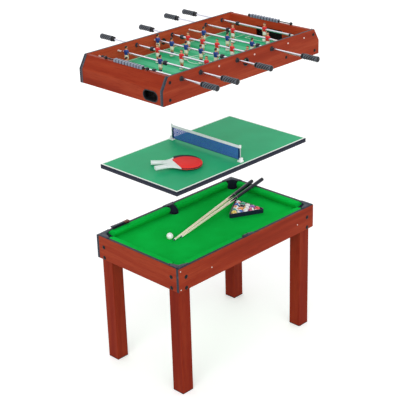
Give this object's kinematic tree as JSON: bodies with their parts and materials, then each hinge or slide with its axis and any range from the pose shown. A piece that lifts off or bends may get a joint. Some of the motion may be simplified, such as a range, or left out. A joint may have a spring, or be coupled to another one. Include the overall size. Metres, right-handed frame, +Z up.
{
  "type": "multi game table",
  "caption": "Home multi game table: pool table on square legs, table tennis top with net and paddles, and table football box with sliding player rods, shown apart.",
  "frame": {"origin": "on the floor under the middle of the table", "axes": "+Z up; X along the table, with the single-player rod of the near side at -X; Y across it, with the blue team's grips at -Y"},
  "size_m": [1.2437, 1.2927, 1.8843],
  "materials": {
    "cherry_laminate": "cherry red wood-grain laminate on board, satin",
    "green_felt": "bright green felt over board and rubber cushions",
    "grey_plastic": "moulded, blue-grey",
    "black_plastic": "moulded, black",
    "white_plastic": "moulded, white",
    "cue_wood": "lacquered, black butt",
    "ball_resin": "polished pool balls in mixed colours",
    "tennis_paint": "green playing paint with a thin white edge line",
    "navy_edge": "dark edge band",
    "net_fabric": "woven blue mesh with a white top tape",
    "red_rubber": "red sheet on a wooden blade",
    "black_rubber": "black sheet on a wooden blade",
    "pitch_paint": "printed green pitch with white marks",
    "chromed_steel": "chromed",
    "blue_team": "chromed tube, black grip and painted players in blue",
    "red_team": "chromed tube, black grip and painted players in red"
  },
  "bodies": {
    "base_table": {"long_apron_near": "cherry_laminate", "long_apron_far": "cherry_laminate", "short_apron_left": "cherry_laminate", "short_apron_right": "cherry_laminate", "leg_near_left": "cherry_laminate", "leg_near_right": "cherry_laminate", "leg_far_left": "cherry_laminate", "leg_far_right": "cherry_laminate", "playing_bed": "green_felt", "cushion_frame": "green_felt", "pocket_near_left": "grey_plastic", "pocket_near_right": "grey_plastic", "pocket_far_right": "grey_plastic", "pocket_far_left": "grey_plastic", "pocket_near_middle": "grey_plastic", "pocket_far_middle": "grey_plastic", "cue_ball": "white_plastic", "racked_balls": "ball_resin", "triangle_rack": "black_plastic", "cue_long_side": "cue_wood", "cue_short_side": "cue_wood", "table_brush": "black_plastic"},
    "tennis_top": {"tennis_board": "tennis_paint", "tennis_skirt": "navy_edge", "table_net": "net_fabric", "net_post_near": "white_plastic", "net_post_far": "white_plastic", "paddle_black": "black_rubber", "paddle_red": "red_rubber"},
    "football_box": {"side_wall_near": "cherry_laminate", "side_wall_far": "cherry_laminate", "end_panel_left": "cherry_laminate", "end_panel_right": "cherry_laminate", "goal_board_left": "cherry_laminate", "goal_board_right": "cherry_laminate", "pitch_board": "pitch_paint", "ball_entry_near": "black_plastic", "ball_entry_far": "black_plastic", "ball_tray_left": "black_plastic", "ball_tray_right": "black_plastic", "score_bar_left": "black_plastic", "score_bar_right": "black_plastic"},
    "score_beads_left": {"score_beads_left": "grey_plastic"},
    "score_beads_right": {"score_beads_right": "grey_plastic"},
    "inner_rod_1": {"inner_rod_1": "chromed_steel"},
    "player_rod_1": {"player_rod_1": "blue_team"},
    "inner_rod_2": {"inner_rod_2": "chromed_steel"},
    "player_rod_2": {"player_rod_2": "blue_team"},
    "inner_rod_3": {"inner_rod_3": "chromed_steel"},
    "player_rod_3": {"player_rod_3": "red_team"},
    "inner_rod_4": {"inner_rod_4": "chromed_steel"},
    "player_rod_4": {"player_rod_4": "blue_team"},
    "inner_rod_5": {"inner_rod_5": "chromed_steel"},
    "player_rod_5": {"player_rod_5": "red_team"},
    "inner_rod_6": {"inner_rod_6": "chromed_steel"},
    "player_rod_6": {"player_rod_6": "blue_team"},
    "inner_rod_7": {"inner_rod_7": "chromed_steel"},
    "player_rod_7": {"player_rod_7": "red_team"},
    "inner_rod_8": {"inner_rod_8": "chromed_steel"},
    "player_rod_8": {"player_rod_8": "red_team"}
  },
  "joints": [
    {"name": "tennis_top_lift", "type": "slide", "parent": "base_table", "child": "tennis_top", "axis": [0, 0, 1], "range_m": [-0.37, 0]},
    {"name": "football_box_lift", "type": "slide", "parent": "tennis_top", "child": "football_box", "axis": [0, 0, 1], "range_m": [-0.419, 0]},
    {"name": "score_beads_left_slide", "type": "slide", "parent": "football_box", "child": "score_beads_left", "axis": [0, 1, 0], "range_m": [-0.0237, 0.0613]},
    {"name": "score_beads_right_slide", "type": "slide", "parent": "football_box", "child": "score_beads_right", "axis": [0, 1, 0], "range_m": [-0.0825, 0.0025]},
    {"name": "rod_1_spin", "type": "hinge", "parent": "football_box", "child": "inner_rod_1", "pos_m": [-0.47954, 0, 1.838], "axis": [0, 1, 0], "continuous": true},
    {"name": "rod_1_slide", "type": "slide", "parent": "inner_rod_1", "child": "player_rod_1", "axis": [0, -1, 0], "range_m": [-0.0195, 0.1747]},
    {"name": "rod_2_spin", "type": "hinge", "parent": "football_box", "child": "inner_rod_2", "pos_m": [-0.34253, 0, 1.838], "axis": [0, 1, 0], "continuous": true},
    {"name": "rod_2_slide", "type": "slide", "parent": "inner_rod_2", "child": "player_rod_2", "axis": [0, -1, 0], "range_m": [-0.026, 0.2335]},
    {"name": "rod_3_spin", "type": "hinge", "parent": "football_box", "child": "inner_rod_3", "pos_m": [-0.20552, 0, 1.838], "axis": [0, 1, 0], "continuous": true},
    {"name": "rod_3_slide", "type": "slide", "parent": "inner_rod_3", "child": "player_rod_3", "axis": [0, 1, 0], "range_m": [-0.0495, 0.1151]},
    {"name": "rod_4_spin", "type": "hinge", "parent": "football_box", "child": "inner_rod_4", "pos_m": [-0.06851, 0, 1.838], "axis": [0, 1, 0], "continuous": true},
    {"name": "rod_4_slide", "type": "slide", "parent": "inner_rod_4", "child": "player_rod_4", "axis": [0, -1, 0], "range_m": [-0.0072, 0.0822]},
    {"name": "rod_5_spin", "type": "hinge", "parent": "football_box", "child": "inner_rod_5", "pos_m": [0.06851, 0, 1.838], "axis": [0, 1, 0], "continuous": true},
    {"name": "rod_5_slide", "type": "slide", "parent": "inner_rod_5", "child": "player_rod_5", "axis": [0, 1, 0], "range_m": [-0.0198, 0.0697]},
    {"name": "rod_6_spin", "type": "hinge", "parent": "football_box", "child": "inner_rod_6", "pos_m": [0.20552, 0, 1.838], "axis": [0, 1, 0], "continuous": true},
    {"name": "rod_6_slide", "type": "slide", "parent": "inner_rod_6", "child": "player_rod_6", "axis": [0, -1, 0], "range_m": [-0.0891, 0.0754]},
    {"name": "rod_7_spin", "type": "hinge", "parent": "football_box", "child": "inner_rod_7", "pos_m": [0.34253, 0, 1.838], "axis": [0, 1, 0], "continuous": true},
    {"name": "rod_7_slide", "type": "slide", "parent": "inner_rod_7", "child": "player_rod_7", "axis": [0, 1, 0], "range_m": [-0.0936, 0.1659]},
    {"name": "rod_8_spin", "type": "hinge", "parent": "football_box", "child": "inner_rod_8", "pos_m": [0.47954, 0, 1.838], "axis": [0, 1, 0], "continuous": true},
    {"name": "rod_8_slide", "type": "slide", "parent": "inner_rod_8", "child": "player_rod_8", "axis": [0, 1, 0], "range_m": [-0.0779, 0.1163]}
  ]
}
